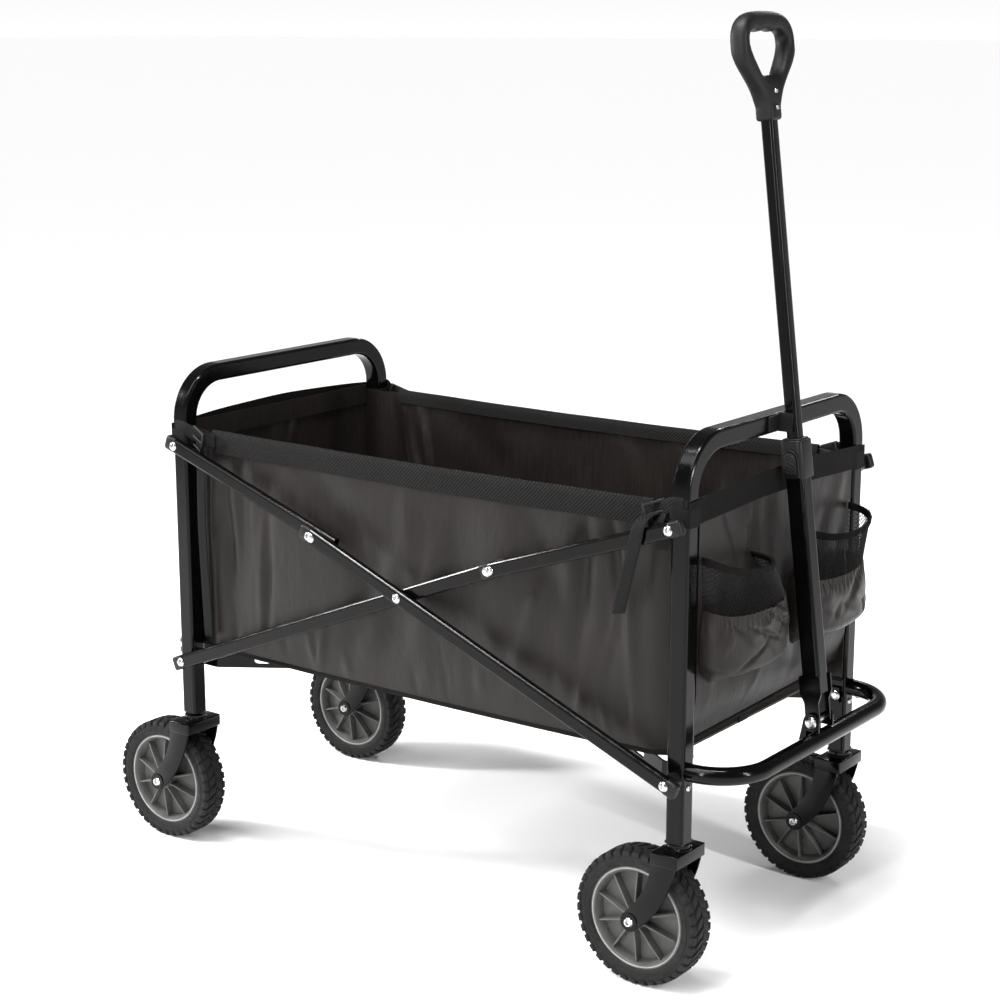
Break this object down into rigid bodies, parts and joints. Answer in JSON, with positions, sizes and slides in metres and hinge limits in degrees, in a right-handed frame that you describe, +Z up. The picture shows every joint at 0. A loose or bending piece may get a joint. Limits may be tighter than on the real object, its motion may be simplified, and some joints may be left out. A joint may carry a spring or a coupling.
{
  "type": "folding camp wagon",
  "caption": "Folding fabric camp wagon on four wheels, with scissor side frames, an open basket, front pockets and a telescoping pull handle.",
  "frame": {"origin": "on the ground, under the middle of the wagon's bounding box", "axes": "+X forward to the handle end, +Y to the wagon's left, +Z up"},
  "size_m": [1.0636, 0.502, 1.1956],
  "materials": {
    "frame_tube": "gloss black powder coat",
    "plain_steel": "bright zinc plate",
    "black_plastic": "satin moulded plastic",
    "tyre_rubber": "matt moulded tread",
    "wheel_plastic": "dark grey moulded plastic",
    "basket_fabric": "coated woven polyester",
    "webbing": "coarse woven webbing",
    "pocket_fabric": "gathered polyester with an open mesh top",
    "grip_rubber": "soft matt grip"
  },
  "bodies": {
    "rear_frame": {"rear_loop": "frame_tube", "rear_cross_bar": "frame_tube", "rear_cross_bolts": "plain_steel", "rear_post_rivets": "plain_steel", "rear_left_fork": "frame_tube", "rear_right_fork": "frame_tube", "rear_axle_bolts": "plain_steel", "basket_rear_panel": "basket_fabric", "basket_left_wall": "basket_fabric", "basket_right_wall": "basket_fabric", "basket_floor": "basket_fabric", "side_rim_webbing": "webbing", "rear_rim_band": "webbing"},
    "rear_left_wheel": {"rear_left_tyre": "tyre_rubber", "rear_left_hub": "wheel_plastic"},
    "rear_right_wheel": {"rear_right_tyre": "tyre_rubber", "rear_right_hub": "wheel_plastic"},
    "long_bars": {"left_long_bar": "frame_tube", "right_long_bar": "frame_tube", "long_bar_rivets": "plain_steel", "long_bar_caps": "black_plastic"},
    "cross_bars": {"left_cross_bar": "frame_tube", "right_cross_bar": "frame_tube", "cross_bar_rivets": "plain_steel", "cross_bar_caps": "black_plastic"},
    "rear_links": {"left_rear_link": "frame_tube", "right_rear_link": "frame_tube"},
    "front_links": {"left_front_link": "frame_tube", "right_front_link": "frame_tube", "front_link_rivets": "plain_steel"},
    "front_frame": {"front_loop": "frame_tube", "bumper": "frame_tube", "handle_bracket": "frame_tube", "handle_pivot_bolt": "plain_steel", "handle_clip": "black_plastic", "front_post_rivets": "plain_steel", "front_spacers": "black_plastic", "caster_sockets": "black_plastic", "basket_front_panel": "basket_fabric", "front_rim_band": "webbing", "left_pocket": "pocket_fabric", "right_pocket": "pocket_fabric"},
    "front_left_caster": {"front_left_fork": "frame_tube", "front_left_axle_bolt": "plain_steel"},
    "front_left_wheel": {"front_left_tyre": "tyre_rubber", "front_left_hub": "wheel_plastic"},
    "front_right_caster": {"front_right_fork": "frame_tube", "front_right_axle_bolt": "plain_steel"},
    "front_right_wheel": {"front_right_tyre": "tyre_rubber", "front_right_hub": "wheel_plastic"},
    "rear_floor_arms": {"rear_floor_arms": "frame_tube"},
    "front_floor_arms": {"front_floor_arms": "frame_tube"},
    "floor_hub": {"floor_hub": "frame_tube"},
    "handle_lower": {"handle_yoke": "frame_tube", "handle_lower_tube": "frame_tube", "lock_housing": "black_plastic", "lock_spring": "plain_steel"},
    "handle_upper": {"handle_upper_tube": "frame_tube", "handle_grip": "grip_rubber"},
    "lock_button": {"lock_button": "black_plastic"}
  },
  "joints": [
    {"name": "fold", "type": "hinge", "parent": "rear_frame", "child": "long_bars", "pos_m": [-0.39275, 0, 0.28], "axis": [0, -1, 0], "range_deg": [0, 55.81], "deforming": ["basket_left_wall", "basket_right_wall", "basket_floor", "side_rim_webbing"]},
    {"name": "cross_pivot", "type": "hinge", "parent": "long_bars", "child": "cross_bars", "pos_m": [0.02225, 0, 0.447], "axis": [0, -1, 0], "range_deg": [-111.67, 0]},
    {"name": "front_lower_pivot", "type": "hinge", "parent": "cross_bars", "child": "front_frame", "pos_m": [0.43725, 0, 0.28], "axis": [0, -1, 0], "range_deg": [0, 55.86]},
    {"name": "rear_link_pivot", "type": "hinge", "parent": "rear_frame", "child": "rear_links", "pos_m": [-0.39275, 0, 0.598], "axis": [0, -1, 0], "range_deg": [0, 96.42]},
    {"name": "front_link_pivot", "type": "hinge", "parent": "front_frame", "child": "front_links", "pos_m": [0.43725, 0, 0.598], "axis": [0, -1, 0], "range_deg": [-96.42, 0]},
    {"name": "rear_arm_pivot", "type": "hinge", "parent": "rear_frame", "child": "rear_floor_arms", "pos_m": [-0.39275, 0, 0.28], "axis": [0, -1, 0], "range_deg": [0, 80.32]},
    {"name": "front_arm_pivot", "type": "hinge", "parent": "front_frame", "child": "front_floor_arms", "pos_m": [0.43725, 0, 0.28], "axis": [0, -1, 0], "range_deg": [-80.32, 0]},
    {"name": "hub_pivot", "type": "hinge", "parent": "rear_floor_arms", "child": "floor_hub", "pos_m": [-0.00775, 0, 0.28], "axis": [0, -1, 0], "range_deg": [-80.32, 0]},
    {"name": "handle_pitch", "type": "hinge", "parent": "front_frame", "child": "handle_lower", "pos_m": [0.51325, 0, 0.314], "axis": [0, 1, 0], "range_deg": [0, 95]},
    {"name": "handle_telescope", "type": "slide", "parent": "handle_lower", "child": "handle_upper", "axis": [-0.1271, 0, 0.9919], "range_m": [-0.24, 0]},
    {"name": "lock_button", "type": "slide", "parent": "handle_lower", "child": "lock_button", "axis": [0, 1, 0], "range_m": [0, 0.003], "stiffness_N_per_m": 600, "springref_m": -0.002, "deforming": ["lock_spring"]},
    {"name": "front_left_swivel", "type": "hinge", "parent": "front_frame", "child": "front_left_caster", "pos_m": [0.43725, 0.2105, 0.2], "axis": [0, 0, 1], "continuous": true},
    {"name": "front_left_spin", "type": "hinge", "parent": "front_left_caster", "child": "front_left_wheel", "pos_m": [0.38725, 0.2105, 0.089], "axis": [0, 1, 0], "continuous": true},
    {"name": "front_right_swivel", "type": "hinge", "parent": "front_frame", "child": "front_right_caster", "pos_m": [0.43725, -0.2105, 0.2], "axis": [0, 0, 1], "continuous": true},
    {"name": "front_right_spin", "type": "hinge", "parent": "front_right_caster", "child": "front_right_wheel", "pos_m": [0.38725, -0.2105, 0.089], "axis": [0, 1, 0], "continuous": true},
    {"name": "rear_left_spin", "type": "hinge", "parent": "rear_frame", "child": "rear_left_wheel", "pos_m": [-0.44275, 0.2105, 0.089], "axis": [0, 1, 0], "continuous": true},
    {"name": "rear_right_spin", "type": "hinge", "parent": "rear_frame", "child": "rear_right_wheel", "pos_m": [-0.44275, -0.2105, 0.089], "axis": [0, 1, 0], "continuous": true}
  ],
  "couplings": [
    {"joint": "cross_pivot", "follows": "fold", "ratio": -2},
    {"joint": "front_lower_pivot", "follows": "fold", "ratio": 1},
    {"joint": "rear_link_pivot", "follows": "fold", "ratio": 1.7268},
    {"joint": "front_link_pivot", "follows": "fold", "ratio": -1.7268},
    {"joint": "rear_arm_pivot", "follows": "fold", "ratio": 1.4382},
    {"joint": "front_arm_pivot", "follows": "fold", "ratio": -1.4382},
    {"joint": "hub_pivot", "follows": "fold", "ratio": -1.4382}
  ]
}
